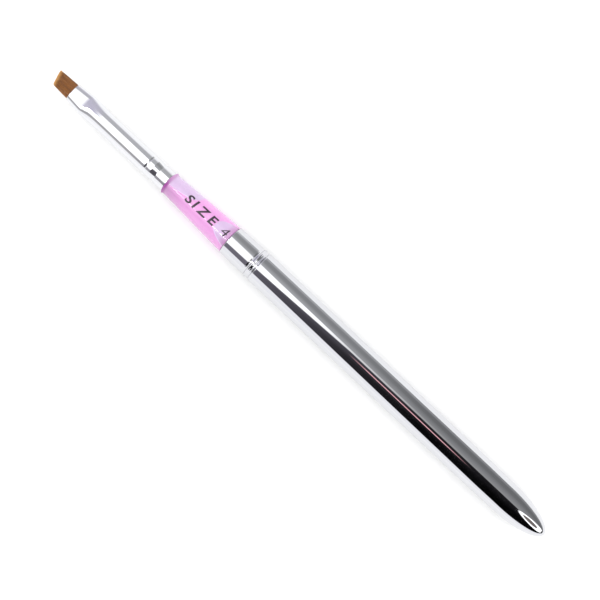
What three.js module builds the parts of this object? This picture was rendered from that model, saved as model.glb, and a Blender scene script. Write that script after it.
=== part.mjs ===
import * as THREE from 'three';

// Acrylic nail brush, lying along X: bristles at -X, rounded tail at +X, the flat of the brush up.
// Units are millimetres. A station is a distance along the brush from its longest bristle.

const OVERALL_LENGTH = 175.8;
const SIDES = 24; // flats around every turned piece; one of them faces straight down

const BRISTLES = {
  shortSide: 1.14, // how far the short corner of the slanted tip sits behind the long one
  edgeThickness: 0.2, // at the very tip
  tipWidth: 4.3,
  tipThickness: 0.36,
  tipBevel: 0.15,
  bellyAt: 3.5, // the sides are slightly full between tip and mouth
  bellyThickness: 1.7,
  mouthWidth: 4.76,
  mouthThickness: 2.56,
};

const FERRULE = {
  mouth: 6.45,
  creaseAt: 11.45, // where the pressed flat ends
  roundAt: 17.6, // where the tube is round again
  end: 41.05,
  wall: 0.25,
  mouthWidth: 5.4,
  creaseWidth: 6.2,
  flatThickness: 3.2, // an estimate: the photo's cues allow 2.5 to 4.2
  roundRadius: 2.975,
  endRadius: 3.07,
  fineCrimpAt: 34.35, // both crimps slope down gently from the front and end in a steep step
  fineCrimpDepth: 0.12,
  wideCrimpFrom: 35.95,
  wideCrimpTo: 37.9,
  wideCrimpDepth: 0.25,
};

const ROOT = {
  front: 7.9, // clear of the knuckle on which the bristles bend
  tiedAt: 16.3,
  end: 18.6,
  tiedRadius: 1.75,
  creaseThickness: 2.46,
  creaseWidth: 5.46,
};

const THREAD = { from: 16.3, turns: 5, thickness: 0.26 };

const RESIN = { from: 18.0, to: 22.1, socketDepth: 0.7 };

const GRIP = {
  spigotFront: 30.3,
  face: 41.15,
  shoulder: 62.95,
  plugEnd: 79.45,
  rimRadius: 3.36,
  rimLength: 0.9, // the rim flares out over this length
  frontRadius: 3.08,
  shoulderRadius: 4.095,
  plugRadius: 3.3,
  reliefDepth: 0.12,
  chamfer: 0.35,
};

const BARREL = {
  mouth: 63.05,
  lockGrooveAt: 70.75,
  bodyFrom: 73.35,
  bellyFrom: 126.0,
  bellyTo: 153.0,
  noseFrom: 161.0,
  wall: 0.4,
  mouthRadius: 4.275,
  neckRadius: 4.4,
  bodyRadius: 4.54,
  bellyRadius: 4.62,
  noseRadius: 4.53,
};

const LINER = { from: 63.85, to: 80.85, bore: 3.37, lead: 0.25 };

const RUNNING_GAP = 0.06; // radial gap between pieces that slide or turn on each other

const AXIS_HEIGHT = BARREL.bellyRadius; // the brush lies on the widest part of its barrel
const CORNER = 1 / Math.cos(Math.PI / SIDES); // corner radius over the radius to the flats

const COLOURS = {
  bristles: 0x935c2d,
  root: 0x7a4a24,
  thread: 0xe8e2d2,
  resin: 0xc9a24a,
  silver: 0xe4e6ea,
  acrylic: 0xf6b6ea,
  chrome: 0xd8dade,
  liner: 0xf2f2f0,
};

// A value that runs evenly from one [station, value] to another and is held outside them.
function ramp(station, [fromStation, fromValue], [toStation, toValue]) {
  const share = THREE.MathUtils.clamp((station - fromStation) / (toStation - fromStation), 0, 1);
  return THREE.MathUtils.lerp(fromValue, toValue, share);
}

// A body turned about the brush's own axis from [station, radius] pairs.
function turned(profile) {
  const points = profile.map(([station, radius]) => new THREE.Vector2(radius * CORNER, station));
  const geometry = new THREE.LatheGeometry(points, SIDES, Math.PI / SIDES, 2 * Math.PI);
  geometry.rotateZ(-Math.PI / 2);
  geometry.translate(-OVERALL_LENGTH / 2, 0, AXIS_HEIGHT);
  return geometry;
}

// Moves every corner of a turned body: shift takes its station and offset in Y, and returns both.
function reshaped(geometry, shift) {
  const position = geometry.getAttribute('position');
  for (let i = 0; i < position.count; i += 1) {
    const [station, y] = shift(position.getX(i) + OVERALL_LENGTH / 2, position.getY(i));
    position.setX(i, station - OVERALL_LENGTH / 2);
    position.setY(i, y);
  }
  return geometry;
}

// Presses a round body flat: its two halves move apart in Y by halfGap, with flat faces between.
function flattened(geometry, halfGap) {
  return reshaped(geometry, (station, y) => [station, y + Math.sign(y) * halfGap(station)]);
}

function piece(name, geometry, color, roughness, metalness) {
  const material = new THREE.MeshStandardMaterial({ color, roughness, metalness });
  const mesh = new THREE.Mesh(geometry, material);
  mesh.name = name;
  return mesh;
}

// Half the straight stretch across a pressed section of this width and thickness.
function straightHalf(width, thickness) {
  return (width - thickness) / 2;
}

// The ferrule's outer radius; where it is pressed flat, the radius of its rounded sides.
function ferruleRadius(station) {
  if (station <= FERRULE.roundAt) {
    const crease = [FERRULE.creaseAt, FERRULE.flatThickness / 2];
    return ramp(station, crease, [FERRULE.roundAt, FERRULE.roundRadius]);
  }
  return ramp(station, [FERRULE.roundAt, FERRULE.roundRadius], [FERRULE.end, FERRULE.endRadius]);
}

function ferruleHalfGap(station) {
  const mouthGap = straightHalf(FERRULE.mouthWidth, FERRULE.flatThickness);
  const creaseGap = straightHalf(FERRULE.creaseWidth, FERRULE.flatThickness);
  if (station <= FERRULE.creaseAt) {
    return ramp(station, [FERRULE.mouth, mouthGap], [FERRULE.creaseAt, creaseGap]);
  }
  return ramp(station, [FERRULE.creaseAt, creaseGap], [FERRULE.roundAt, 0]);
}

// How far the two crimps press the tube in, as [station, depth] pairs.
function crimpDepths() {
  const fineLength = 0.45;
  const step = 0.15;
  return [
    [FERRULE.fineCrimpAt - fineLength, 0],
    [FERRULE.fineCrimpAt, FERRULE.fineCrimpDepth],
    [FERRULE.fineCrimpAt + step, 0],
    [FERRULE.wideCrimpFrom, 0],
    [FERRULE.wideCrimpTo - step, FERRULE.wideCrimpDepth],
    [FERRULE.wideCrimpTo, 0],
  ];
}

// The ferrule's round rear, this far inside its outer skin, from one station to another.
function crimpedProfile(inset) {
  return crimpDepths().map(([station, depth]) => [station, ferruleRadius(station) - depth - inset]);
}

function ferrule() {
  const outer = [FERRULE.mouth, FERRULE.creaseAt, FERRULE.roundAt]
    .map((station) => [station, ferruleRadius(station)])
    .concat(crimpedProfile(0), [[FERRULE.end, ferruleRadius(FERRULE.end)]]);
  const inner = outer.map(([station, radius]) => [station, radius - FERRULE.wall]).reverse();
  const tube = turned([...outer, ...inner, outer[0]]);
  return piece('ferrule', flattened(tube, ferruleHalfGap), COLOURS.silver, 0.12, 1);
}

// Bristles outside the ferrule: a chisel on a round knuckle centred on the ferrule's mouth.
function bristleTuft() {
  const knuckleSteps = 5;
  const knuckleRadius = BRISTLES.mouthThickness / 2;
  const tip = BRISTLES.shortSide / 2;
  const profile = [
    [tip, 0],
    [tip, BRISTLES.edgeThickness / 2],
    [tip + BRISTLES.tipBevel, BRISTLES.tipThickness / 2],
    [BRISTLES.bellyAt, BRISTLES.bellyThickness / 2],
  ];
  for (let step = 0; step <= knuckleSteps; step += 1) {
    const angle = (step / knuckleSteps) * (Math.PI / 2);
    const station = FERRULE.mouth + knuckleRadius * Math.sin(angle);
    profile.push([station, step < knuckleSteps ? knuckleRadius * Math.cos(angle) : 0]);
  }
  const tipGap = straightHalf(BRISTLES.tipWidth, BRISTLES.tipThickness);
  const mouth = [FERRULE.mouth, straightHalf(BRISTLES.mouthWidth, BRISTLES.mouthThickness)];
  const chisel = flattened(turned(profile), (station) => ramp(station, [tip, tipGap], mouth));
  const slope = tip / (tipGap + BRISTLES.edgeThickness / 2);
  reshaped(chisel, (station, y) => [station - y * ramp(station, [tip, slope], [FERRULE.mouth, 0]), y]);
  return piece('bristle_tuft', chisel, COLOURS.bristles, 0.6, 0);
}

// The same bristles inside the ferrule: pressed flat in front, gathered round where they are tied.
function tuftRoot() {
  const frontThickness = BRISTLES.mouthThickness - 2 * RUNNING_GAP;
  const creaseGap = [FERRULE.creaseAt, straightHalf(ROOT.creaseWidth, ROOT.creaseThickness)];
  const frontGap = [ROOT.front, straightHalf(BRISTLES.mouthWidth, BRISTLES.mouthThickness)];
  const bundle = turned([
    [ROOT.front, 0],
    [ROOT.front, frontThickness / 2],
    [FERRULE.creaseAt, ROOT.creaseThickness / 2],
    [ROOT.tiedAt, ROOT.tiedRadius],
    [ROOT.end, ROOT.tiedRadius],
    [ROOT.end, 0],
  ]);
  flattened(bundle, (station) => (station <= FERRULE.creaseAt
    ? ramp(station, frontGap, creaseGap)
    : ramp(station, creaseGap, [ROOT.tiedAt, 0])));
  return piece('tuft_root', bundle, COLOURS.root, 0.7, 0);
}

// Thread wound tight around the root; each turn shows as a ridge.
function bindingThread() {
  const inside = ROOT.tiedRadius + RUNNING_GAP;
  const outline = [[THREAD.from, inside]];
  for (let turn = 0; turn < THREAD.turns; turn += 1) {
    const start = THREAD.from + turn * THREAD.thickness;
    outline.push([start, inside + THREAD.thickness * 0.6]);
    outline.push([start + THREAD.thickness / 2, inside + THREAD.thickness]);
  }
  const end = THREAD.from + THREAD.turns * THREAD.thickness;
  outline.push([end, inside + THREAD.thickness * 0.6], [end, inside], outline[0]);
  return piece('binding_thread', turned(outline), COLOURS.thread, 0.9, 0);
}

// Resin poured into the ferrule behind the thread, with the root's end set into it.
function rootResin() {
  const radius = FERRULE.roundRadius - FERRULE.wall - RUNNING_GAP;
  const socket = ROOT.tiedRadius + RUNNING_GAP;
  const bottom = RESIN.from + RESIN.socketDepth;
  const plug = turned([
    [bottom, 0],
    [bottom, socket],
    [RESIN.from, socket],
    [RESIN.from, radius],
    [RESIN.to, radius],
    [RESIN.to, 0],
  ]);
  return piece('root_resin', plug, COLOURS.resin, 0.3, 0);
}

// One turned length of acrylic: a spigot inside the ferrule, the flared grip, and the plug behind.
function grip() {
  const spigotInset = FERRULE.wall + RUNNING_GAP;
  const spigotRadius = ferruleRadius(GRIP.face) - spigotInset;
  const rimBack = GRIP.face + GRIP.rimLength;
  const relief = GRIP.plugRadius - GRIP.reliefDepth;
  const rod = turned([
    [GRIP.spigotFront, 0],
    [GRIP.spigotFront, spigotRadius - 2 * GRIP.chamfer],
    [GRIP.spigotFront + GRIP.chamfer, ferruleRadius(GRIP.spigotFront) - spigotInset],
    ...crimpedProfile(spigotInset),
    [GRIP.face, spigotRadius],
    [GRIP.face, GRIP.rimRadius - 0.06],
    [GRIP.face + 0.06, GRIP.rimRadius],
    [GRIP.face + 0.2, GRIP.rimRadius],
    [GRIP.face + 0.45, GRIP.frontRadius + 0.08],
    [rimBack, GRIP.frontRadius],
    [GRIP.shoulder - 0.1, GRIP.shoulderRadius],
    [GRIP.shoulder, GRIP.shoulderRadius - 0.1],
    [GRIP.shoulder, relief],
    [GRIP.shoulder + 0.6, relief],
    [GRIP.shoulder + 0.8, GRIP.plugRadius],
    [GRIP.plugEnd - GRIP.chamfer, GRIP.plugRadius],
    [GRIP.plugEnd, GRIP.plugRadius - GRIP.chamfer],
    [GRIP.plugEnd, 0],
  ]);
  return piece('grip', rod, COLOURS.acrylic, 0.15, 0);
}

// The groove rolled into the neck, and the ridge that it raises inside, as offsets on a radius.
function lockGroove(radius) {
  const depth = 0.16;
  const width = 0.7;
  return [
    [BARREL.lockGrooveAt, radius],
    [BARREL.lockGrooveAt + 0.2, radius - depth],
    [BARREL.lockGrooveAt + width - 0.2, radius - depth],
    [BARREL.lockGrooveAt + width, radius],
  ];
}

// The decorative beads between the neck and the main tube.
function beads() {
  const valley = BARREL.neckRadius - 0.1;
  const crest = BARREL.bodyRadius;
  const start = BARREL.lockGrooveAt + 0.75;
  return [
    [start, crest - 0.06],
    [start + 0.4, crest],
    [start + 0.8, crest - 0.06],
    [start + 0.9, valley],
    [start + 1.15, valley],
    [start + 1.25, crest - 0.08],
    [start + 1.6, crest - 0.08],
    [start + 1.7, valley],
  ];
}

function barrelTubeRadius(station) {
  if (station <= BARREL.bellyTo) {
    const belly = [BARREL.bellyFrom, BARREL.bellyRadius];
    return ramp(station, [BARREL.bodyFrom, BARREL.bodyRadius], belly);
  }
  const share = THREE.MathUtils.smoothstep(station, BARREL.bellyTo, BARREL.noseFrom);
  return THREE.MathUtils.lerp(BARREL.bellyRadius, BARREL.noseRadius, share);
}

// The tapering tube and its half-ellipsoid nose, this far inside the outer skin.
function barrelRear(inset, taperSteps, noseSteps) {
  const profile = [BARREL.bodyFrom, BARREL.bellyFrom].map(
    (station) => [station, barrelTubeRadius(station) - inset],
  );
  for (let step = 0; step < taperSteps; step += 1) {
    const station = THREE.MathUtils.lerp(BARREL.bellyTo, BARREL.noseFrom, step / taperSteps);
    profile.push([station, barrelTubeRadius(station) - inset]);
  }
  const noseLength = OVERALL_LENGTH - BARREL.noseFrom - 2 * inset;
  const noseRadius = BARREL.noseRadius - inset;
  for (let step = 0; step <= noseSteps; step += 1) {
    const angle = (step / noseSteps) * (Math.PI / 2);
    const radius = step < noseSteps ? noseRadius * Math.cos(angle) : 0;
    profile.push([BARREL.noseFrom + noseLength * Math.sin(angle), radius]);
  }
  return profile;
}

// The drawn metal handle: open at the mouth, hollow to the nose.
function barrel() {
  const lip = 0.12;
  const bore = BARREL.mouthRadius - BARREL.wall;
  const outer = [
    [BARREL.mouth, BARREL.mouthRadius - lip],
    [BARREL.mouth + lip, BARREL.mouthRadius],
    ...lockGroove(BARREL.neckRadius),
    ...beads(),
    ...barrelRear(0, 4, 8),
  ];
  const inner = [
    [BARREL.mouth, bore],
    ...lockGroove(bore),
    ...barrelRear(BARREL.wall, 2, 5),
  ];
  return piece('barrel', turned([...inner.reverse(), ...outer]), COLOURS.chrome, 0.08, 1);
}

// The plastic sleeve that grips the plug, held by the ridge of the lock groove.
function barrelLiner() {
  const outside = BARREL.mouthRadius - BARREL.wall - RUNNING_GAP;
  const sleeve = turned([
    [LINER.from, LINER.bore + LINER.lead],
    [LINER.from, outside],
    ...lockGroove(outside),
    [LINER.to, outside],
    [LINER.to, LINER.bore],
    [LINER.from + LINER.lead, LINER.bore],
    [LINER.from, LINER.bore + LINER.lead],
  ]);
  return piece('barrel_liner', sleeve, COLOURS.liner, 0.4, 0);
}

// Everything that pulls out of the handle together.
function head() {
  const group = new THREE.Group();
  group.add(bristleTuft(), tuftRoot(), bindingThread(), rootResin(), ferrule(), grip());
  return group;
}

function handle() {
  const group = new THREE.Group();
  group.add(barrelLiner(), barrel());
  return group;
}

const brush = new THREE.Group();
brush.add(head(), handle());

export default brush;
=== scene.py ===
import math
import random
from functools import cache

import bmesh
import bpy
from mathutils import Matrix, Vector


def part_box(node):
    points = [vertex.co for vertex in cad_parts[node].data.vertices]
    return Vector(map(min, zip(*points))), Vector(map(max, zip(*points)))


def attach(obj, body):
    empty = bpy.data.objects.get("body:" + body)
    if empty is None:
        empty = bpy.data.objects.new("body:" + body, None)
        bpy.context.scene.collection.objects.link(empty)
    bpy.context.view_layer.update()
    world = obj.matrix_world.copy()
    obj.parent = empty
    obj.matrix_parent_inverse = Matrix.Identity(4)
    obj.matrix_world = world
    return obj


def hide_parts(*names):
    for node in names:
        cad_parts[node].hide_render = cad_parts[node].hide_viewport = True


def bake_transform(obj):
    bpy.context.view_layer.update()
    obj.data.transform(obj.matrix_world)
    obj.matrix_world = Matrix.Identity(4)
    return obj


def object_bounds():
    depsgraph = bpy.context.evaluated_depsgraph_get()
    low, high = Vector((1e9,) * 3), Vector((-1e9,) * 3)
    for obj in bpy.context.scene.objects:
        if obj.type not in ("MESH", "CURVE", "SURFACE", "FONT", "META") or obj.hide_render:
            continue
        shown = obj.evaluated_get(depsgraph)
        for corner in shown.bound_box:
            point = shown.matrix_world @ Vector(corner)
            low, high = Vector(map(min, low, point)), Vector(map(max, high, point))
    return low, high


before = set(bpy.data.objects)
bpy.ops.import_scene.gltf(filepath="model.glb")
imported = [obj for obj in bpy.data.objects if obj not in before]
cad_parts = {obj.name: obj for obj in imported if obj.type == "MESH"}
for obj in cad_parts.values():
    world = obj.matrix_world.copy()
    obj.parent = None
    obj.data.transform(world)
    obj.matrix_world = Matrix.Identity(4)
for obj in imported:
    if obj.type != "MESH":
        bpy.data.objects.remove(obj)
cad_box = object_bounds()

# A station is a distance in mm along the brush from its longest bristle, as in the CAD. Y and Z are mm from
# the brush's axis. The bristles are at -X, the tail at +X, and the flat of the brush faces up.
MM = 0.001
START_X = cad_box[0].x
AXIS_Z = (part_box("barrel")[0].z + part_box("barrel")[1].z) / 2


@cache
def box_of(node):
    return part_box(node)


def front_of(node):
    return (box_of(node)[0].x - START_X) / MM


def back_of(node):
    return (box_of(node)[1].x - START_X) / MM


def half_width_of(node):
    return (box_of(node)[1].y - box_of(node)[0].y) / 2 / MM


SIDES = 128  # points round a turned piece

# Bristles, mm
SHORT_SIDE = 1.14  # how far the short corner of the slanted tip sits behind the long one
TIP_WIDTH = 4.24
TIP_THICKNESS = 0.34
TUFT_WIDTH = 4.72
TUFT_THICKNESS = 2.5
HAIR_RADIUS = 0.06
HAIR_SPACING = 0.112
HAIR_INSIDE = 0.95  # how far the free hairs reach back into the ferrule
HAIR_CORNERS = 5  # sides of a hair

# Root, inside the ferrule, mm
ROOT_FRONT_HALF_GAP = 1.1
ROOT_CREASE_HALF_GAP = 1.5
ROOT_FLAT_RADIUS = 1.16
ROOT_TIED_RADIUS = 1.7
ROOT_OUTSIDE = 1.75  # radius inside the thread and the resin
ROOT_STRAND_RADIUS = 0.085
THREAD_THICKNESS = 0.24
THREAD_TURNS = 5

# Ferrule, mm
MOUTH = front_of("ferrule")
FERRULE_END = back_of("ferrule")
CREASE_AT = MOUTH + 5.0
ROUND_AT = MOUTH + 11.15
FLAT_RADIUS = 1.6  # half the thickness of the pressed mouth
SIDE_REACH = 1.375  # the rounded sides are this much wider than high, where there is room
MOUTH_BOW = 0.15  # how far pressing has drawn back the middle of the mouth's edge
MOUTH_HALF_GAP = 1.1
CREASE_HALF_GAP = half_width_of("ferrule") - FLAT_RADIUS
ROUND_RADIUS = 2.975
END_RADIUS = 3.07
FERRULE_WALL = 0.25
FINE_CRIMP_AT = FERRULE_END - 6.7  # its deepest point
FINE_CRIMP_SLOPE = 0.45
FINE_CRIMP_DEPTH = 0.07
WIDE_CRIMP_FROM = FERRULE_END - 5.1
WIDE_CRIMP_TO = FERRULE_END - 3.15
WIDE_CRIMP_DEPTH = 0.25
CRIMP_STEP = 0.15  # length of the steep wall that ends each crimp

# Grip, mm
SPIGOT_FRONT = front_of("grip")
PLUG_END = back_of("grip")
GRIP_FACE = FERRULE_END + 0.1
RIM_RADIUS = 3.36
RIM_LENGTH = 0.9
GRIP_FRONT_RADIUS = 3.08
SHOULDER = front_of("barrel") - 0.1
SHOULDER_RADIUS = half_width_of("grip")
PLUG_RADIUS = 3.3
GAP = 0.06

# Barrel and liner, mm
BARREL_MOUTH = front_of("barrel")
TAIL = back_of("barrel")
MOUTH_RADIUS = 4.275
NECK_RADIUS = 4.40
BODY_RADIUS = 4.54
BELLY_RADIUS = half_width_of("barrel")
NOSE_RADIUS = 4.53
GROOVE_AT = BARREL_MOUTH + 7.7
GROOVE_LENGTH = 0.7
GROOVE_DEPTH = 0.16
BODY_FROM = BARREL_MOUTH + 10.3
BELLY_FROM = TAIL - 49.8
BELLY_TO = TAIL - 22.8
NOSE_FROM = TAIL - 14.8
BARREL_WALL = 0.4
LINER_RADIUS = MOUTH_RADIUS - BARREL_WALL - GAP
LINER_BORE = PLUG_RADIUS + 0.07


# ---------------------------------------------------------------- geometry helpers


def place(station, y, z):
    """The point of the scene, in metres, at a station and this far from the axis in mm."""
    return Vector((START_X + station * MM, y * MM, AXIS_Z + z * MM))


def lerp(a, b, share):
    return a + (b - a) * share


def ramp(station, start, end):
    """Runs evenly from start = (station, value) to end, and is held outside them."""
    share = min(1, max(0, (station - start[0]) / (end[0] - start[0])))
    return lerp(start[1], end[1], share)


def smoothstep(share):
    share = min(1, max(0, share))
    return share * share * (3 - 2 * share)


def spread(start, end, count):
    """count values from start to end, both included."""
    return [lerp(start, end, i / (count - 1)) for i in range(count)]


def turned_ring(station, radius, sides=SIDES):
    if radius == 0:
        return [place(station, 0, 0)]
    angles = [2 * math.pi * i / sides for i in range(sides)]
    return [place(station, radius * math.cos(a), radius * math.sin(a)) for a in angles]


def quarter_point(along, radius, side, half_gap):
    """Y and Z this far along a quarter of a pressed section, from the middle of its flat to its side."""
    if along < half_gap:
        return along, radius
    angle = (along - half_gap) / side
    return half_gap + side * math.sin(angle), radius * math.cos(angle)


def pressed_section(radius, half_gap, reach=1.0, sides=SIDES):
    """A round section whose halves have moved apart by half_gap each. With a reach over 1 its sides are
    ellipses, as much wider than high as the section's width allows."""
    side = min(half_gap + radius, radius * reach)
    half_gap = half_gap + radius - side
    steps = sides // 4
    length = half_gap + side * math.pi / 2
    quarter = [quarter_point(length * i / steps, radius, side, half_gap) for i in range(steps + 1)]
    section = quarter[:-1]
    section += [(y, -z) for y, z in reversed(quarter)][:-1]
    section += [(-y, -z) for y, z in quarter][:-1]
    section += [(-y, z) for y, z in reversed(quarter)][:-1]
    return section


def skin(rings, closed=False):
    """Points and faces of a surface through rings of points; a ring of one point is a pole."""
    points = [point for ring in rings for point in ring]
    starts = [sum(len(ring) for ring in rings[:i]) for i in range(len(rings))]
    faces = []
    for a in range(len(rings) if closed else len(rings) - 1):
        b = (a + 1) % len(rings)
        count_a = len(rings[a])
        count_b = len(rings[b])
        for i in range(max(count_a, count_b)):
            j = i + 1
            corners = [starts[a] + i % count_a, starts[a] + j % count_a]
            corners += [starts[b] + j % count_b, starts[b] + i % count_b]
            faces.append(list(dict.fromkeys(corners)))
    return points, faces


def new_piece(name, points, faces, material, sharp_angle=30):
    """A smooth-shaded mesh object whose faces point outwards."""
    mesh = bpy.data.meshes.new(name)
    mesh.from_pydata(points, [], faces)
    work = bmesh.new()
    work.from_mesh(mesh)
    bmesh.ops.recalc_face_normals(work, faces=work.faces)
    work.to_mesh(mesh)
    work.free()
    mesh.shade_smooth()
    mesh.set_sharp_from_angle(angle=math.radians(sharp_angle))
    mesh.materials.append(material)
    piece = bpy.data.objects.new(name, mesh)
    bpy.context.scene.collection.objects.link(piece)
    return piece


def rounded(profile, steps=5):
    """Rounds the corners of a profile: each corner is (station, radius) or (station, radius, rounding)."""
    result = []
    count = len(profile)
    for i, corner in enumerate(profile):
        here = Vector(corner[:2])
        rounding = corner[2] if len(corner) > 2 else 0
        if rounding == 0:
            result.append(tuple(here))
            continue
        before = Vector(profile[i - 1][:2]) - here
        after = Vector(profile[(i + 1) % count][:2]) - here
        start = here + before.normalized() * min(rounding, before.length / 2)
        end = here + after.normalized() * min(rounding, after.length / 2)
        for share in spread(0, 1, steps):
            first = start.lerp(here, share)
            second = here.lerp(end, share)
            result.append(tuple(first.lerp(second, share)))
    return result


def supported(profile):
    """Adds points near both ends of each long straight stretch, so that smooth shading stays flat on it."""
    result = [profile[0]]
    for start, end in zip(profile, profile[1:]):
        length = math.dist(start, end)
        if length > 1.0:
            for share in (0.03 / length, 1 - 0.03 / length):
                result.append((lerp(start[0], end[0], share), lerp(start[1], end[1], share)))
        result.append(end)
    return result


def lathe(name, profile, material, closed=False, sharp_angle=30):
    rings = [turned_ring(station, radius) for station, radius in supported(profile)]
    points, faces = skin(rings, closed)
    return new_piece(name, points, faces, material, sharp_angle)


# ---------------------------------------------------------------- node helpers


class Graph:
    """A node tree, with a short way to add each kind of node. A value is a number, a colour or a socket."""

    def __init__(self, owner):
        owner.use_nodes = True
        self.tree = owner.node_tree
        self.tree.nodes.clear()

    def add(self, kind, **settings):
        node = self.tree.nodes.new("ShaderNode" + kind)
        for key, value in settings.items():
            setattr(node, key, value)
        return node

    def feed(self, socket, value):
        if isinstance(value, bpy.types.NodeSocket):
            self.tree.links.new(value, socket)
        elif isinstance(value, tuple) and len(value) == 3 and socket.type == "RGBA":
            socket.default_value = (*value, 1)
        else:
            socket.default_value = value

    def math(self, operation, *values):
        node = self.add("Math", operation=operation)
        for socket, value in zip(node.inputs, values):
            self.feed(socket, value)
        return node.outputs[0]

    def total(self, first, *rest):
        for value in rest:
            first = self.math("ADD", first, value)
        return first

    def product(self, first, *rest):
        for value in rest:
            first = self.math("MULTIPLY", first, value)
        return first

    def remap(self, value, low, high, to_low=0.0, to_high=1.0, smooth=False):
        node = self.add("MapRange", interpolation_type="SMOOTHSTEP" if smooth else "LINEAR")
        keys = ("Value", "From Min", "From Max", "To Min", "To Max")
        for key, given in zip(keys, (value, low, high, to_low, to_high)):
            self.feed(node.inputs[key], given)
        return node.outputs["Result"]

    def stops(self, value, *points):
        """Runs evenly through points = (value, result), and is held outside them."""
        result = points[0][1]
        for (low, start), (high, end) in zip(points, points[1:]):
            result = self.total(result, self.remap(value, low, high, 0.0, end - start))
        return result

    def step(self, value, edge, softness):
        """0 below edge and 1 above it, changing over twice the softness; a negative softness swaps them."""
        return self.remap(self.math("SUBTRACT", value, edge), -softness, softness, smooth=True)

    def line(self, value, centre, half_width):
        """1 at centre, falling to 0 at half_width on both sides."""
        away = self.math("ABSOLUTE", self.math("SUBTRACT", value, centre))
        return self.remap(away, 0.0, half_width, 1.0, 0.0, smooth=True)

    def mix(self, share, a, b):
        node = self.add("Mix", data_type="RGBA")
        self.feed(node.inputs["Factor"], share)
        self.feed(node.inputs[6], a)
        self.feed(node.inputs[7], b)
        return node.outputs[2]

    def scale(self, colour, amount):
        node = self.add("VectorMath", operation="SCALE")
        self.feed(node.inputs[0], colour)
        self.feed(node.inputs["Scale"], amount)
        return node.outputs[0]

    def split(self, vector):
        node = self.add("SeparateXYZ")
        self.feed(node.inputs[0], vector)
        return tuple(node.outputs)

    def coordinates(self, stretch=(1, 1, 1)):
        """Object coordinates in mm, scaled by stretch."""
        node = self.add("VectorMath", operation="MULTIPLY")
        self.feed(node.inputs[0], self.add("TexCoord").outputs["Object"])
        node.inputs[1].default_value = tuple(1000 * s for s in stretch)
        return node.outputs[0]

    def noise(self, stretch, scale, detail=3.0, roughness=0.5):
        """Noise from 0 to 1 whose grain is 1/scale mm before the stretch."""
        node = self.add("TexNoise")
        self.feed(node.inputs["Vector"], self.coordinates(stretch))
        node.inputs["Scale"].default_value = scale
        node.inputs["Detail"].default_value = detail
        node.inputs["Roughness"].default_value = roughness
        return node.outputs["Fac"]

    def bump(self, height, distance, strength=1.0):
        """height is 0 to 1, and distance is its depth in mm."""
        node = self.add("Bump")
        self.feed(node.inputs["Height"], height)
        node.inputs["Distance"].default_value = distance * MM
        node.inputs["Strength"].default_value = strength
        return node.outputs[0]

    def principled(self, **inputs):
        node = self.add("BsdfPrincipled")
        for key, value in inputs.items():
            self.feed(node.inputs[key.replace("_", " ")], value)
        return node.outputs[0]

    def output(self, shader, kind="OutputMaterial"):
        self.tree.links.new(shader, self.add(kind).inputs["Surface"])


def new_material(name):
    material = bpy.data.materials.new(name)
    return material, Graph(material)


# ---------------------------------------------------------------- materials


def chrome_material():
    """Bright drawn chrome: near-mirror, with faint lengthwise drawing lines and a few cloudy patches."""
    material, graph = new_material("barrel_chrome")
    lines = graph.noise((0.05, 1, 1), 5.0, 4.0, 0.6)
    clouds = graph.noise((0.3, 1, 1), 0.35)
    roughness = graph.total(graph.remap(clouds, 0.35, 0.7, 0.015, 0.04), graph.product(lines, 0.02))
    colour = graph.mix(clouds, (0.61, 0.615, 0.64), (0.63, 0.635, 0.66))
    normal = graph.bump(lines, 0.0006)
    graph.output(graph.principled(Base_Color=colour, Metallic=1.0, Roughness=roughness, Normal=normal))
    return material


def silver_material():
    """Polished aluminium ferrule: a little softer than the chrome, with fine turning marks."""
    material, graph = new_material("ferrule_silver")
    turning = graph.noise((1, 0.05, 0.05), 6.0, 4.0, 0.6)
    waves = graph.noise((0.25, 1, 1), 0.5)
    roughness = graph.total(graph.remap(waves, 0.3, 0.7, 0.04, 0.08), graph.product(turning, 0.03))
    colour = graph.mix(turning, (0.68, 0.685, 0.705), (0.72, 0.725, 0.74))
    normal = graph.bump(graph.total(graph.product(turning, 0.3), waves), 0.012)
    graph.output(graph.principled(Base_Color=colour, Metallic=1.0, Roughness=roughness, Normal=normal))
    return material


PINK = (0.605, 0.28, 0.555)
# Painted shade: the grip's mauve, where it darkens low at the front, just before the barrel and on the rim.
SHADE_MAUVE = (0.42, 0.215, 0.405)
# Painted shade: deep magenta on the low side of the grip's rim, by the ferrule.
RIM_SHADE_MAGENTA = (0.26, 0.055, 0.25)
LILAC = (0.50, 0.372, 0.55)
PALE_SEAM = (0.62, 0.58, 0.74)

# The lilac layer in front ends at station CUT_LIMIT - CUT_DEPTH * e^(-CUT_RATE * y).
CUT_LIMIT = 51.2
CUT_DEPTH = 6.82
CUT_RATE = 1.152
# The lilac tongue behind starts at station TONGUE_TIP + TONGUE_FLARE * |y - TONGUE_Y|^3.
TONGUE_TIP = 57.9
TONGUE_FLARE = 0.155
TONGUE_Y = 0.55


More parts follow.
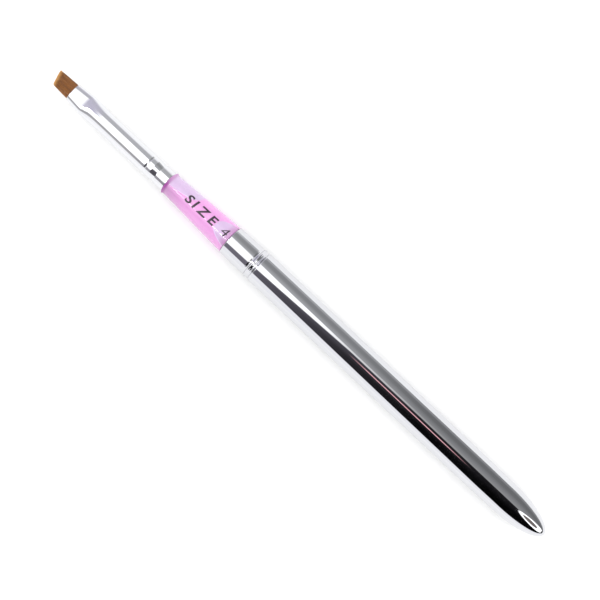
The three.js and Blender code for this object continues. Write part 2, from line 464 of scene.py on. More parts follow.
def acrylic_material():
    """Laminated pearl acrylic: pink, with a lilac layer cut obliquely in front and a tongue of it behind, and
    painted shade in mauve and magenta low at the front, before the barrel and on the rim.
    """
    material, graph = new_material("pearl_acrylic")
    x, y, z = graph.split(graph.coordinates())
    station = graph.total(x, -START_X / MM)
    pearl = graph.noise((1, 0.25, 0.25), 2.2, 5.0, 0.65)
    clouds = graph.noise((1, 1, 1), 0.35, 2.0)

    decay = graph.math("EXPONENT", graph.product(y, -CUT_RATE))
    oblique_cut = graph.total(graph.product(decay, -CUT_DEPTH), CUT_LIMIT)
    ahead = graph.math("SUBTRACT", oblique_cut, station)
    tongue_side = graph.math("ABSOLUTE", graph.total(y, -TONGUE_Y))
    tongue = graph.product(graph.math("POWER", tongue_side, 3.0), TONGUE_FLARE)
    behind = graph.total(station, graph.product(tongue, -1.0), -TONGUE_TIP)

    # Painted shade: the low (-Y) side darkens to mauve towards the front, near the ferrule.
    front = graph.remap(station, GRIP_FACE + 10.0, GRIP_FACE, 0.0, 1.0, smooth=True)
    low_side_shade = graph.remap(y, 1.0, -2.0, 0.0, 1.0, smooth=True)
    colour = graph.mix(graph.product(front, low_side_shade), PINK, SHADE_MAUVE)
    colour = graph.mix(graph.step(ahead, 0.0, 0.35), colour, LILAC)
    # Painted shade: the lilac tongue darkens to mauve just before the barrel's mouth.
    barrel_shade = graph.remap(station, SHOULDER - 2.5, SHOULDER, 0.0, 1.0, smooth=True)
    shaded_tongue_colour = graph.mix(barrel_shade, LILAC, SHADE_MAUVE)
    colour = graph.mix(graph.step(behind, 0.0, 0.3), colour, shaded_tongue_colour)
    front_seam = graph.product(graph.line(ahead, 0.25, 0.55), graph.remap(y, 1.6, 0.6))
    rear_seam = graph.product(graph.line(behind, 0.15, 0.4), graph.remap(y, 0.0, -0.8))
    seam = graph.math("MAXIMUM", front_seam, rear_seam)
    colour = graph.mix(graph.product(seam, 0.7), colour, PALE_SEAM)
    # Painted shade: the rim by the ferrule darkens to mauve, and to deep magenta on its low (-Y) side.
    rim = graph.remap(station, GRIP_FACE + 1.3, GRIP_FACE + 0.3, 0.0, 1.0, smooth=True)
    rim_shade_colour = graph.mix(graph.remap(y, 1.5, -0.5), SHADE_MAUVE, RIM_SHADE_MAGENTA)
    colour = graph.mix(graph.product(rim, 0.9), colour, rim_shade_colour)
    shimmer = graph.total(graph.product(pearl, 0.10), graph.product(clouds, 0.08), 0.91)
    colour = graph.scale(colour, shimmer)

    roughness = graph.remap(clouds, 0.3, 0.7, 0.02, 0.03)
    shader = graph.principled(
        Base_Color=colour,
        Roughness=roughness,
        IOR=1.49,
        Subsurface_Weight=0.2,
        Subsurface_Radius=(1.0, 0.55, 0.9),
        Subsurface_Scale=0.0025,
        Coat_Weight=0.3,
        Coat_Roughness=0.03,
        Normal=graph.bump(clouds, 0.001),
    )
    graph.output(shader)
    return material


def ink_material():
    """Matt black pad-printing ink, slightly worn and purplish where the acrylic shows through."""
    material, graph = new_material("print_ink")
    wear = graph.noise((1, 1, 1), 6.0, 4.0, 0.7)
    colour = graph.mix(graph.remap(wear, 0.45, 0.75), (0.018, 0.012, 0.02), (0.075, 0.035, 0.07))
    roughness = graph.remap(wear, 0.3, 0.7, 0.35, 0.55)
    graph.output(graph.principled(Base_Color=colour, Roughness=roughness, Normal=graph.bump(wear, 0.004)))
    return material


def hair_material():
    """Brown hair: golden at the tips, darker in the belly, with painted shade towards the long side, each
    hair a little different.
    """
    material, graph = new_material("brown_hair")
    x, y, z = graph.split(graph.coordinates())
    station = graph.total(x, -START_X / MM)
    each = graph.add("NewGeometry").outputs["Random Per Island"]
    tip_line = graph.remap(y, -TIP_WIDTH / 2, TIP_WIDTH / 2, SHORT_SIDE, 0.0)
    from_tip = graph.math("SUBTRACT", station, tip_line)
    body = graph.mix(each, (0.15, 0.052, 0.010), (0.32, 0.125, 0.027))
    # Painted shade: the hair darkens towards the long (+Y) side, away from the tips.
    long_side_shade = graph.remap(y, 0.5, TIP_WIDTH / 2, 0.0, 0.4, smooth=True)
    colour = graph.mix(long_side_shade, body, (0.12, 0.042, 0.008))
    gold = graph.remap(graph.total(from_tip, graph.product(each, 0.5)), 1.5, 0.1, 0.0, 0.9, smooth=True)
    colour = graph.mix(gold, colour, (0.74, 0.41, 0.14))
    streaks = graph.noise((0.15, 1, 1), 5.0, 3.0)
    colour = graph.scale(colour, graph.remap(streaks, 0.25, 0.75, 0.8, 1.2))
    roughness = graph.remap(each, 0.0, 1.0, 0.32, 0.5)
    graph.output(graph.principled(Base_Color=colour, Roughness=roughness, Specular_IOR_Level=0.4))
    return material


def thread_material():
    material, graph = new_material("white_thread")
    fibre = graph.noise((1, 1, 1), 14.0, 4.0, 0.7)
    colour = graph.mix(fibre, (0.62, 0.57, 0.45), (0.85, 0.82, 0.72))
    graph.output(graph.principled(Base_Color=colour, Roughness=0.85, Normal=graph.bump(fibre, 0.03)))
    return material


def resin_material():
    """Set amber resin with a few cloudy inclusions."""
    material, graph = new_material("amber_resin")
    clouds = graph.noise((1, 1, 1), 1.6, 4.0)
    colour = graph.mix(clouds, (0.42, 0.22, 0.05), (0.72, 0.48, 0.16))
    roughness = graph.remap(clouds, 0.3, 0.7, 0.12, 0.3)
    shader = graph.principled(
        Base_Color=colour, Roughness=roughness, Subsurface_Weight=0.3, Subsurface_Scale=0.001,
        Normal=graph.bump(clouds, 0.02),
    )
    graph.output(shader)
    return material


def liner_material():
    """White moulded plastic with a fine eroded texture and rub marks from the plug."""
    material, graph = new_material("liner_plastic")
    grain = graph.noise((1, 1, 1), 9.0, 3.0)
    rub = graph.noise((0.08, 1, 1), 2.5, 3.0)
    colour = graph.mix(graph.remap(rub, 0.4, 0.8), (0.83, 0.83, 0.81), (0.70, 0.70, 0.69))
    roughness = graph.remap(rub, 0.3, 0.7, 0.5, 0.32)
    graph.output(graph.principled(Base_Color=colour, Roughness=roughness, Normal=graph.bump(grain, 0.01)))
    return material


def floor_material():
    """Plain white paper."""
    material, graph = new_material("white_sweep")
    paper = graph.noise((1, 1, 1), 0.15, 4.0)
    colour = graph.mix(paper, (0.83, 0.83, 0.83), (0.85, 0.85, 0.85))
    graph.output(graph.principled(Base_Color=colour, Roughness=0.9, Specular_IOR_Level=0.0))
    return material


# ---------------------------------------------------------------- bristles and what holds them


def tuft_lattice(spacing):
    """Evenly packed points of the tuft's section where it leaves the ferrule."""
    radius = TUFT_THICKNESS / 2 - HAIR_RADIUS
    half_gap = (TUFT_WIDTH - TUFT_THICKNESS) / 2
    rows = int(radius / (spacing * 0.866))
    points = []
    for row in range(-rows, rows + 1):
        z = row * spacing * 0.866
        reach = half_gap + math.sqrt(radius * radius - z * z)
        shift = spacing / 2 if row % 2 else 0
        columns = int(reach / spacing) + 1
        for column in range(-columns, columns + 1):
            y = column * spacing + shift
            if abs(y) <= reach:
                points.append((y, z))
    return points


def hair_length_share(y_share, rng):
    """Station of a hair's tip, from the slant of the tuft, its rounded corners and a little scatter."""
    slant = lerp(SHORT_SIDE, 0.0, (y_share + 1) / 2)
    corner = 0.16 * abs(y_share) ** 9
    return max(0.005, slant + corner + abs(rng.gauss(0, 0.05)) - 0.1)


def hair_rings(y, z, rng):
    """Rings of one tapered hair, from inside the ferrule to its tip."""
    y_share = y / (TUFT_WIDTH / 2)
    z_share = z / (TUFT_THICKNESS / 2)
    tip = hair_length_share(y_share, rng)
    wander = Vector((rng.gauss(0, 0.03), rng.gauss(0, 0.018)))
    phase = rng.uniform(0, 2 * math.pi)
    root = MOUTH + HAIR_INSIDE
    rings = [[place(root, y, z)]]
    steps = 9
    for i in range(steps):
        station = lerp(root - 0.02, tip + 0.03, i / (steps - 1))
        share = max(0, (MOUTH - station) / (MOUTH - tip))
        y_here = lerp(y, y_share * TIP_WIDTH / 2, share) + wander.x * share
        z_here = lerp(z, z_share * TIP_THICKNESS / 2, share ** 1.7) + wander.y * share
        radius = HAIR_RADIUS * lerp(1.0, 0.3, share ** 1.6)
        ring = []
        for k in range(HAIR_CORNERS):
            angle = phase + 2 * math.pi * k / HAIR_CORNERS
            ring.append(place(station, y_here + radius * math.cos(angle), z_here + radius * math.sin(angle)))
        rings.append(ring)
    rings.append([place(tip, y_here, z_here)])
    return rings


def bundle(name, strands, material):
    """One mesh of many separate strands, each a list of rings."""
    points = []
    faces = []
    for rings in strands:
        strand_points, strand_faces = skin(rings)
        start = len(points)
        points.extend(strand_points)
        faces.extend([start + i for i in face] for face in strand_faces)
    return new_piece(name, points, faces, material, sharp_angle=80)


def bristle_filaments(material):
    rng = random.Random(7)
    strands = []
    for y, z in tuft_lattice(HAIR_SPACING):
        y += rng.gauss(0, 0.012)
        z += rng.gauss(0, 0.008)
        strands.append(hair_rings(y, z, rng))
    piece = bundle("bristle_filaments", strands, material)
    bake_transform(piece)
    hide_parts("bristle_tuft")
    return piece


def root_section_point(station, rho, turn):
    """Y and Z of a strand inside the ferrule: pressed flat at the front, round where it is tied."""
    crease = (CREASE_AT, ROOT_CREASE_HALF_GAP)
    tied_at = front_of("binding_thread")
    if station <= CREASE_AT:
        half_gap = ramp(station, (front_of("tuft_root"), ROOT_FRONT_HALF_GAP), crease)
    else:
        half_gap = ramp(station, crease, (tied_at, 0))
    radius = ramp(station, (CREASE_AT, ROOT_FLAT_RADIUS), (tied_at, ROOT_TIED_RADIUS))
    section = pressed_section(radius, half_gap, sides=64)
    y, z = section[int(turn * 64) % 64]
    return y * rho, z * rho


def root_bundle(material):
    rng = random.Random(11)
    strands = []
    start = front_of("tuft_root")
    end = back_of("tuft_root")
    for layer in range(1, 8):
        rho = layer / 7 * 0.95
        count = 9 * layer
        for k in range(count):
            turn = (k + 0.5 * (layer % 2)) / count
            reach = rng.uniform(0, 0.25)
            rings = []
            for station in spread(start + 0.01, end - reach, 9):
                y, z = root_section_point(station, rho, turn)
                ring = []
                for corner in range(HAIR_CORNERS):
                    angle = 2 * math.pi * corner / HAIR_CORNERS
                    across = ROOT_STRAND_RADIUS * math.cos(angle)
                    up = ROOT_STRAND_RADIUS * math.sin(angle)
                    ring.append(place(station, y + across, z + up))
                rings.append(ring)
            first = root_section_point(start, rho, turn)
            last = root_section_point(end, rho, turn)
            rings.insert(0, [place(start, *first)])
            rings.append([place(end - reach + 0.01, *last)])
            strands.append(rings)
    piece = bundle("root_bundle", strands, material)
    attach(piece, "head")
    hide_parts("tuft_root")
    return piece


def thread_winding(material):
    """Three-ply thread wound in five touching turns round the root."""
    start = front_of("binding_thread")
    end = back_of("binding_thread")
    turns = THREAD_TURNS
    thickness = THREAD_THICKNESS
    coil_radius = ROOT_OUTSIDE + GAP + thickness / 2
    steps = turns * 64
    rings = []
    for i in range(steps + 1):
        share = i / steps
        around = 2 * math.pi * turns * share
        station = lerp(start + thickness / 2, end - thickness / 2, share)
        ring = []
        for k in range(12):
            angle = 2 * math.pi * k / 12
            ply = 1 - 0.12 * (1 - math.cos(3 * (angle - around * 4))) / 2
            out = coil_radius + thickness / 2 * ply * math.cos(angle)
            along = station + thickness / 2 * ply * math.sin(angle)
            ring.append(place(along, out * math.cos(around), out * math.sin(around)))
        rings.append(ring)
    for index, turn in ((0, 0.0), (len(rings), 2 * math.pi * turns)):
        station = start + thickness / 2 if index == 0 else end - thickness / 2
        rings.insert(index, [place(station, coil_radius * math.cos(turn), coil_radius * math.sin(turn))])
    points, faces = skin(rings)
    piece = new_piece("thread_winding", points, faces, material, sharp_angle=60)
    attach(piece, "head")
    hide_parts("binding_thread")
    return piece


def resin_plug(material):
    """Resin with the root's end set into its front, and a meniscus where it climbed the tube."""
    start = front_of("root_resin")
    end = back_of("root_resin")
    radius = half_width_of("root_resin")
    socket = ROOT_OUTSIDE + GAP
    profile = [
        (start + 0.7, 0),
        (start + 0.7, socket, 0.1),
        (start + 0.2, socket, 0.15),
        (start + 0.25, (socket + radius) / 2, 0.3),
        (start, radius - 0.02, 0.05),
        (start + 0.05, radius, 0.05),
        (end - 0.05, radius, 0.05),
        (end, radius - 0.05, 0.1),
        (end - 0.35, radius * 0.5, 0.8),
        (end - 0.4, 0),
    ]
    piece = lathe("resin_plug", rounded(profile), material, sharp_angle=50)
    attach(piece, "head")
    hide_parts("root_resin")
    return piece


# ---------------------------------------------------------------- ferrule


def ferrule_radius(station):
    """Outer radius; where the tube is pressed flat, the radius of its rounded sides."""
    if station <= CREASE_AT:
        return FLAT_RADIUS
    if station <= ROUND_AT:
        share = (station - CREASE_AT) / (ROUND_AT - CREASE_AT)
        return lerp(FLAT_RADIUS, ROUND_RADIUS, 1 - (1 - share) ** 1.8)
    return ramp(station, (ROUND_AT, ROUND_RADIUS), (FERRULE_END, END_RADIUS))


def ferrule_half_gap(station):
    if station <= CREASE_AT:
        return ramp(station, (MOUTH, MOUTH_HALF_GAP), (CREASE_AT, CREASE_HALF_GAP))
    share = min(1, (station - CREASE_AT) / (ROUND_AT - CREASE_AT))
    return CREASE_HALF_GAP * (1 - share) ** 1.6


def sawtooth(station, start, bottom, end):
    """Rises evenly from 0 at start to 1 at bottom, and falls to 0 again at end."""
    return min(ramp(station, (start, 0), (bottom, 1)), ramp(station, (bottom, 1), (end, 0)))


def crimp_depth(station):
    """How far the two crimps press the tube in: each slopes down gently and ends in a steep step."""
    fine_start = FINE_CRIMP_AT - FINE_CRIMP_SLOPE
    fine = sawtooth(station, fine_start, FINE_CRIMP_AT, FINE_CRIMP_AT + CRIMP_STEP)
    wide = sawtooth(station, WIDE_CRIMP_FROM, WIDE_CRIMP_TO - CRIMP_STEP, WIDE_CRIMP_TO)
    return FINE_CRIMP_DEPTH * fine + WIDE_CRIMP_DEPTH * wide


def ferrule_stations():
    """Closer together where the shape changes."""
    stations = [MOUTH + 0.08] + spread(MOUTH + 0.11, CREASE_AT, 8)
    stations += spread(CREASE_AT, ROUND_AT, 25)[1:]
    corners = [ROUND_AT, FINE_CRIMP_AT - FINE_CRIMP_SLOPE, FINE_CRIMP_AT, FINE_CRIMP_AT + CRIMP_STEP]
    corners += [WIDE_CRIMP_FROM, WIDE_CRIMP_TO - CRIMP_STEP, WIDE_CRIMP_TO, FERRULE_END - 0.08]
    for start, end in zip(corners, corners[1:]):
        stations += [start + 0.02, end - 0.02]
        if end < FERRULE_END - 0.1:
            stations.append(end)
    return stations + [FERRULE_END - 0.08]


def ferrule_ring(station, inset):
    radius = ferrule_radius(station) - crimp_depth(station) - inset
    section = pressed_section(radius, ferrule_half_gap(station), SIDE_REACH)
    bow = MOUTH_BOW * ramp(station, (MOUTH, 1), (MOUTH + 1.5, 0))
    return [place(station + bow * (z / radius) ** 2, y, z) for y, z in section]


def ferrule_tube(material):
    stations = ferrule_stations()
    rings = [ferrule_ring(MOUTH, 0.08), ferrule_ring(MOUTH + 0.025, 0.025)]
    rings += [ferrule_ring(station, 0) for station in stations]
    rings += [ferrule_ring(FERRULE_END - 0.025, 0.025), ferrule_ring(FERRULE_END, 0.08)]
    rings += [ferrule_ring(FERRULE_END, FERRULE_WALL)]
    rings += [ferrule_ring(station, FERRULE_WALL) for station in reversed(stations)]
    rings += [ferrule_ring(MOUTH, FERRULE_WALL)]
    points, faces = skin(rings, closed=True)
    piece = new_piece("ferrule_tube", points, faces, material, sharp_angle=24)
    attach(piece, "head")
    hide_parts("ferrule")
    return piece


# ---------------------------------------------------------------- grip


def grip_radius(station):
    """Outer radius of the flared part that shows, behind the rim."""
    front = (GRIP_FACE + RIM_LENGTH, GRIP_FRONT_RADIUS)
    return ramp(station, front, (SHOULDER - 0.1, SHOULDER_RADIUS))


def rim_profile():
    """The little flared rim: a rounded lip, then a hollow curve down onto the grip."""
    lip_end = GRIP_FACE + 0.16
    profile = [(GRIP_FACE, RIM_RADIUS - 0.07), (GRIP_FACE + 0.02, RIM_RADIUS - 0.02)]
    profile += [(GRIP_FACE + 0.07, RIM_RADIUS), (lip_end - 0.03, RIM_RADIUS - 0.005)]
    end = GRIP_FACE + RIM_LENGTH
    for share in spread(0, 1, 12):
        hollow = (1 - share) ** 2.4
        profile.append((lerp(lip_end, end, share), lerp(grip_radius(end), RIM_RADIUS - 0.02, hollow)))
    return profile


def spigot_profile():
    """The part inside the ferrule, which the crimps press into."""
    inset = FERRULE_WALL + GAP
    stations = [s for s in ferrule_stations() if s > SPIGOT_FRONT + 0.4]
    profile = [(s, ferrule_radius(s) - crimp_depth(s) - inset) for s in stations]
    return profile + [(GRIP_FACE, END_RADIUS - inset)]


def grip_acrylic(material):
    front_radius = ferrule_radius(SPIGOT_FRONT) - FERRULE_WALL - GAP
    relief = PLUG_RADIUS - 0.12
    rear = [
        (SHOULDER - 0.1, SHOULDER_RADIUS),
        (SHOULDER, SHOULDER_RADIUS - 0.1, 0.08),
        (SHOULDER, relief, 0.08),
        (SHOULDER + 0.6, relief, 0.08),
        (SHOULDER + 0.8, PLUG_RADIUS, 0.08),
        (PLUG_END - 0.35, PLUG_RADIUS, 0.15),
        (PLUG_END, PLUG_RADIUS - 0.35, 0.15),
        (PLUG_END, 0),
    ]
    front = [(SPIGOT_FRONT, 0), (SPIGOT_FRONT, front_radius - 0.35, 0.1), (SPIGOT_FRONT + 0.35, front_radius)]
    profile = rounded(front) + spigot_profile() + rim_profile() + rounded(rear)
    piece = lathe("grip_acrylic", profile, material, sharp_angle=40)
    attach(piece, "head")
    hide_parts("grip")
    return piece


PRINT_CAP_HEIGHT = 2.53
PRINT_BASE_Y = -0.66  # of its feet, measured round the grip
PRINT_THICKNESS = 0.02
# A plain size mark: text, stations of its first and last edge, thickening of the strokes, breadth.
PRINT_WORD = ("SIZE", 47.6, 57.9, 0.026, 1.18)
PRINT_DIGIT = ("4", 60.1, 62.1, -0.005, 1.12)


def flat_letter(letter, weight, breadth):
    """One letter as a thin flat solid with its left foot at 0, stretched by its breadth, in mm."""
    curve = bpy.data.curves.new("letter_outline", "FONT")
    curve.body = letter
    curve.shear = 0.14
    curve.offset = weight
    curve.extrude = 0.5
    curve.resolution_u = 6
    holder = bpy.data.objects.new("letter_outline", curve)
    bpy.context.scene.collection.objects.link(holder)
    graph = bpy.context.evaluated_depsgraph_get()
    mesh = bpy.data.meshes.new_from_object(holder.evaluated_get(graph))
    bpy.data.objects.remove(holder)
    bpy.data.curves.remove(curve)
    left = min(v.co.x for v in mesh.vertices)
    foot = min(v.co.y for v in mesh.vertices)
    scale = PRINT_CAP_HEIGHT / (max(v.co.y for v in mesh.vertices) - foot)
    for vertex in mesh.vertices:
        vertex.co.x = (vertex.co.x - left) * scale * breadth
        vertex.co.y = (vertex.co.y - foot) * scale
    return mesh


def add_word(work, text, start, end, weight, breadth):
    """Adds the letters of a word to a bmesh, evenly spaced from start to end."""
    letters = [flat_letter(letter, weight, breadth) for letter in text]
    widths = [max(v.co.x for v in mesh.vertices) for mesh in letters]
    gap = (end - start - sum(widths)) / max(1, len(letters) - 1)
    for mesh, width in zip(letters, widths):
        for vertex in mesh.vertices:
            vertex.co.x += start
        work.from_mesh(mesh)
        start += width + gap
        bpy.data.meshes.remove(mesh)


def size_print(material):
    """The print, cut into narrow bands and bent round the grip."""
    mesh = bpy.data.meshes.new("size_print")
    work = bmesh.new()
    add_word(work, *PRINT_WORD)
    add_word(work, *PRINT_DIGIT)
    bmesh.ops.remove_doubles(work, verts=work.verts, dist=0.001)
    for height in spread(0.15, PRINT_CAP_HEIGHT - 0.15, 12):
        everything = work.verts[:] + work.edges[:] + work.faces[:]
        bmesh.ops.bisect_plane(work, geom=everything, plane_co=(0, height, 0), plane_no=(0, 1, 0))
    bmesh.ops.triangulate(work, faces=work.faces)
    for vertex in work.verts:
        station = vertex.co.x
        base = grip_radius(station)
        angle = (PRINT_BASE_Y + vertex.co.y) / base
        radius = base + (PRINT_THICKNESS if vertex.co.z > 0 else -0.004)
        vertex.co = place(station, radius * math.sin(angle), radius * math.cos(angle))
    bmesh.ops.recalc_face_normals(work, faces=work.faces)
    work.to_mesh(mesh)
    work.free()
    mesh.materials.append(material)
    piece = bpy.data.objects.new("size_print", mesh)
    bpy.context.scene.collection.objects.link(piece)
    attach(piece, "head")
    return piece


# ---------------------------------------------------------------- handle


def tube_radius(station):
    """Outer radius of the main tube from the beads to the nose."""
    if station <= BELLY_TO:
        return ramp(station, (BODY_FROM, BODY_RADIUS), (BELLY_FROM, BELLY_RADIUS))
    share = smoothstep((station - BELLY_TO) / (NOSE_FROM - BELLY_TO))
    return lerp(BELLY_RADIUS, NOSE_RADIUS, share)


def rear_profile(inset, steps):
    """The tube and its half-ellipsoid nose, this far inside the outer skin."""
    profile = [(s, tube_radius(s) - inset) for s in spread(BODY_FROM + 0.12, BELLY_FROM, 12)]
    profile += [(s, tube_radius(s) - inset) for s in spread(BELLY_FROM, NOSE_FROM, 16)[1:-1]]
    length = TAIL - NOSE_FROM - 2 * inset
    for i in range(steps + 1):
        angle = math.pi / 2 * i / steps
        radius = (NOSE_RADIUS - inset) * math.cos(angle) if i < steps else 0
        profile.append((NOSE_FROM + length * math.sin(angle), radius))
    return profile


def bump_profile(start, end, valley, crest, steps=9):
    """A round bead between two stations."""
    profile = []
    for share in spread(0, 1, steps):
        rise = math.sin(math.pi * share)
        profile.append((lerp(start, end, share), lerp(valley, crest, rise)))
    return profile


def groove_profile(radius):
    """The round-bottomed lock groove, on a wall of this radius."""
    profile = []
    for share in spread(0, 1, 11):
        depth = GROOVE_DEPTH * math.sin(math.pi * share)
        profile.append((GROOVE_AT + GROOVE_LENGTH * share, radius - depth))
    return profile


def barrel_shell(material):
    """The drawn tube: rolled mouth, neck, groove, two beads, long body and bullet nose."""
    valley = NECK_RADIUS - 0.1
    bore = MOUTH_RADIUS - BARREL_WALL
    mouth = [
        (BARREL_MOUTH + 0.12, bore),
        (BARREL_MOUTH, bore + 0.1),
        (BARREL_MOUTH, MOUTH_RADIUS - 0.12),
        (BARREL_MOUTH + 0.04, MOUTH_RADIUS - 0.04),
        (BARREL_MOUTH + 0.12, MOUTH_RADIUS),
    ]
    outer = mouth + groove_profile(NECK_RADIUS)
    outer += bump_profile(GROOVE_AT + 0.75, GROOVE_AT + 1.58, valley, BODY_RADIUS)
    outer += bump_profile(GROOVE_AT + 1.95, GROOVE_AT + 2.42, valley, BODY_RADIUS - 0.07)
    outer += [(BODY_FROM - 0.12, valley), (BODY_FROM - 0.06, BODY_RADIUS - 0.08)]
    outer += [(BODY_FROM, BODY_RADIUS - 0.02)]
    outer += rear_profile(0, 40)
    inner = groove_profile(bore) + rear_profile(BARREL_WALL, 16)
    piece = lathe("barrel_shell", list(reversed(inner)) + outer, material, sharp_angle=50)
    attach(piece, "handle")
    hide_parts("barrel")
    return piece


def liner_sleeve(material):
    """The plastic sleeve in the handle's mouth, with a lead-in for the plug."""
    start = front_of("barrel_liner")
    end = back_of("barrel_liner")
    outside = [(start, LINER_BORE + 0.28, 0.05), (start, LINER_RADIUS - 0.02, 0.03)]
    outside += [(start + 0.05, LINER_RADIUS)]
    inside = [(end, LINER_RADIUS, 0.05), (end, LINER_BORE, 0.05), (start + 0.3, LINER_BORE, 0.05)]
    profile = rounded(outside)[:-1] + [(start + 0.05, LINER_RADIUS)]
    profile += groove_profile(LINER_RADIUS) + rounded(inside)
    piece = lathe("liner_sleeve", profile, material, closed=True, sharp_angle=40)
    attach(piece, "sleeve")
    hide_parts("barrel_liner")
    return piece


# ---------------------------------------------------------------- studio


# All directions here are fixed in the scene. Levels are as they look in the metal, which reflects METAL of
# what it sees. STRIP_LIGHT and BACKDROP are the only ones that aren't: they are levels of the light itself.
METAL = 0.62
WARM_LINE = (1.25, 0.66, 0.70)
CREASE_SHADE = (0.44, 0.42, 0.51)
TAIL_SPOT = (0.05, 0.05, 0.05)
RING_LIGHT = (1.4, 1.4, 1.4)
RING_CORE = (0.16, 0.14, 0.13)
STRIP_LIGHT = (28.0, 28.0, 28.0)
BACKDROP = (0.97, 0.97, 0.97)


def grey_side(graph, lean, around):
    """Level of the grey beyond the softbox, on the +Y side: lowest at about -60 degrees."""
    low = graph.stops(lean, (-0.32, 0.38), (-0.11, 0.23), (0.10, 0.21), (0.24, 0.14))
    by_softbox = graph.stops(lean, (-0.11, 0.40), (-0.04, 0.39), (0.10, 0.32), (0.24, 0.23))
    by_floor = graph.stops(lean, (-0.32, 0.84), (-0.11, 0.40), (0.10, 0.345), (0.24, 0.27), (0.34, 0.25))
    inner = graph.remap(around, -50.0, -22.0)
    outer = graph.remap(around, -66.0, -84.0, smooth=True)
    inner_rise = graph.product(graph.math("SUBTRACT", by_softbox, low), inner)
    outer_rise = graph.product(graph.math("SUBTRACT", by_floor, low), outer)
    return graph.total(low, inner_rise, outer_rise)


def dark_side(graph, lean, around):
    """Colour of the dark band below the softbox, with a thin brown line in it."""
    front_levels = ((-0.32, 0.32), (-0.20, 0.18), (-0.11, 0.13), (-0.04, 0.08))
    level = graph.stops(lean, *front_levels, (0.10, 0.035), (0.24, 0.010), (0.36, 0.005))
    fall = graph.stops(lean, (-0.04, 1.0), (0.10, 0.6), (0.24, 0.25))
    level = graph.product(level, graph.stops(around, (-5.0, 1.9), (12.0, 1.3), (30.0, 1.0)))
    lower_part = graph.remap(around, 15.0, 38.0)
    level = graph.product(level, graph.total(1.0, graph.product(lower_part, graph.total(fall, -1.0))))
    tint = graph.mix(graph.remap(lean, -0.20, -0.30), (0.97, 0.9, 1.08), (0.98, 0.96, 1.0))
    dark = graph.scale(tint, level)
    where = graph.product(graph.remap(lean, 0.10, 0.14), graph.remap(lean, 0.32, 0.28))
    return graph.mix(graph.product(graph.line(around, 12.5, 3.4), where), dark, WARM_LINE)


def studio_reflections(graph):
    """What shiny surfaces see: a long overhead softbox, grey beyond it, dark below it, and marks of their own
    for the tail, the crease and the grip. A direction is an angle round the brush's axis, 0 straight up and
    positive towards -Y, and a lean along X."""
    lean, y, z = graph.split(graph.add("TexCoord").outputs["Generated"])
    around = graph.product(graph.math("ARCTAN2", graph.product(y, -1.0), z), 180 / math.pi)

    upper = graph.stops(lean, (-0.32, -31.0), (-0.11, -22.0), (-0.04, -17.5), (0.10, -16.5))
    lower = graph.stops(lean, (-0.32, 41.0), (-0.11, 25.0), (-0.04, 16.0), (0.10, -6.0))
    front_edge = ((-0.32, 66.0), (-0.11, 60.8), (-0.04, 61.5))
    floor_edge = graph.stops(lean, *front_edge, (0.10, 66.5), (0.24, 70.5), (0.34, 73.5))
    softness = graph.stops(lean, (-0.20, 1.5), (-0.11, 7.0), (-0.06, 1.5))
    softbox = graph.stops(lean, (0.04, 1.10), (0.10, 0.69), (0.24, 0.33), (0.34, 0.25))

    colour = graph.scale((0.97, 0.98, 1.0), grey_side(graph, lean, around))
    past_upper = graph.math("SUBTRACT", around, upper)
    above = graph.remap(past_upper, graph.product(softness, -1.0), softness, smooth=True)
    colour = graph.mix(above, colour, graph.scale((1.0, 1.0, 1.0), softbox))
    half_soft = graph.product(softness, 0.5)
    past_lower = graph.math("SUBTRACT", around, lower)
    below = graph.remap(past_lower, graph.product(half_soft, -1.0), half_soft)
    colour = graph.mix(below, colour, dark_side(graph, lean, around))
    colour = graph.mix(graph.step(around, floor_edge, 1.5), colour, (0.80, 0.80, 0.82))
    steep = graph.product(graph.step(lean, -0.52, -0.28), graph.step(around, 9.0, -12.0))
    colour = graph.mix(steep, colour, CREASE_SHADE)

    rise = graph.product(graph.math("ARCTAN2", lean, z), 180 / math.pi)
    across = graph.product(graph.math("ARCSINE", y), 180 / math.pi)
    colour = graph.mix(ellipse(graph, rise, across, (59.0, 26.0), 17.5), colour, RING_LIGHT)
    colour = graph.mix(ellipse(graph, rise, across, (50.5, 12.8), 9.6), colour, RING_CORE)
    colour = graph.mix(graph.step(lean, 0.982, 0.006), colour, TAIL_SPOT)
    colour = graph.scale(colour, 1 / METAL)

    centre = graph.stops(lean, (-0.35, 12.0), (-0.22, 19.5))
    away = graph.math("SUBTRACT", around, centre)
    tube = graph.product(graph.line(away, 0.0, 2.1), graph.remap(lean, -0.17, -0.21))
    return graph.mix(tube, colour, STRIP_LIGHT)


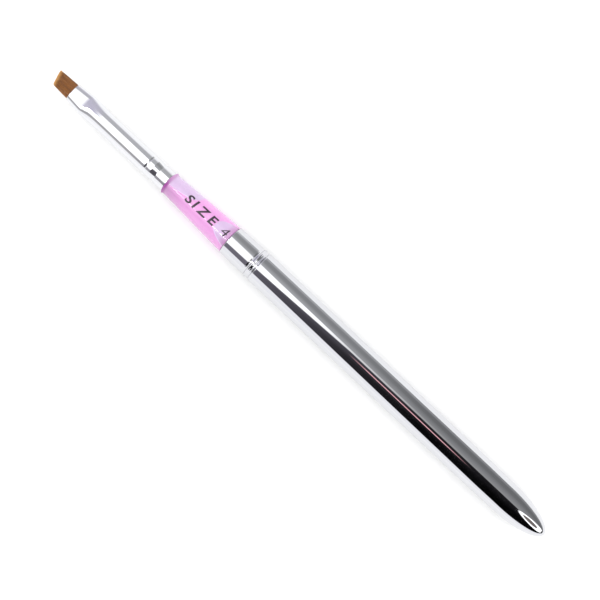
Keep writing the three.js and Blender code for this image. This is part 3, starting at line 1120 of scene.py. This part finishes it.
def ellipse(graph, rise, across, rise_span, across_half):
    """1 inside an ellipse of directions, 0 outside it. rise_span is its middle and its half length."""
    u = graph.product(graph.total(rise, -rise_span[0]), 1 / rise_span[1])
    v = graph.product(across, 1 / across_half)
    squared = graph.total(graph.product(u, u), graph.product(v, v))
    return graph.remap(squared, 0.9, 1.1, 1.0, 0.0, smooth=True)


def studio_world():
    """A plain soft dome for matt surfaces, the patterned studio for shiny ones, plain white behind."""
    world = bpy.data.worlds.new("studio")
    bpy.context.scene.world = world
    graph = Graph(world)
    path = graph.add("LightPath")
    y, z = graph.split(graph.add("TexCoord").outputs["Generated"])[1:]
    soft_level = graph.total(graph.remap(z, 0.0, 1.0, 1.3, 1.78), graph.product(y, 0.18))
    soft = graph.scale((1.0, 1.0, 1.0), soft_level)
    colour = graph.mix(path.outputs["Is Glossy Ray"], soft, studio_reflections(graph))
    colour = graph.mix(path.outputs["Is Camera Ray"], colour, BACKDROP)
    background = graph.add("Background")
    graph.feed(background.inputs["Color"], colour)
    graph.output(background.outputs[0], "OutputWorld")


def white_floor(material):
    size = 1.5
    corners = [Vector((x, y, 0)) for x, y in ((-size, -size), (size, -size), (size, size), (-size, size))]
    floor = new_piece("floor", corners, [[0, 1, 2, 3]], material)


CAMERA_HEIGHT = 183.75  # above the brush's axis, mm
CAMERA_X = -0.83
CAMERA_Y = 1.04
CAMERA_TURN = 43.2  # degrees about the vertical, which lays the brush across the picture


def add_camera():
    """Straight above the middle of the brush, turned so that it lies from top left to bottom right."""
    camera = bpy.data.objects.new("camera", bpy.data.cameras.new("camera"))
    camera.data.lens = 42
    camera.data.sensor_width = 36
    camera.data.clip_start = 0.01
    camera.data.clip_end = 10
    camera.location = (CAMERA_X * MM, CAMERA_Y * MM, AXIS_Z + CAMERA_HEIGHT * MM)
    camera.rotation_euler = (0, 0, math.radians(CAMERA_TURN))
    bpy.context.scene.collection.objects.link(camera)
    bpy.context.scene.camera = camera


bpy.context.scene.view_settings.view_transform = "Standard"
add_camera()
studio_world()
white_floor(floor_material())

hair = hair_material()
bristle_filaments(hair)
root_bundle(hair)
thread_winding(thread_material())
resin_plug(resin_material())
ferrule_tube(silver_material())
grip_acrylic(acrylic_material())
size_print(ink_material())
liner_sleeve(liner_material())
barrel_shell(chrome_material())
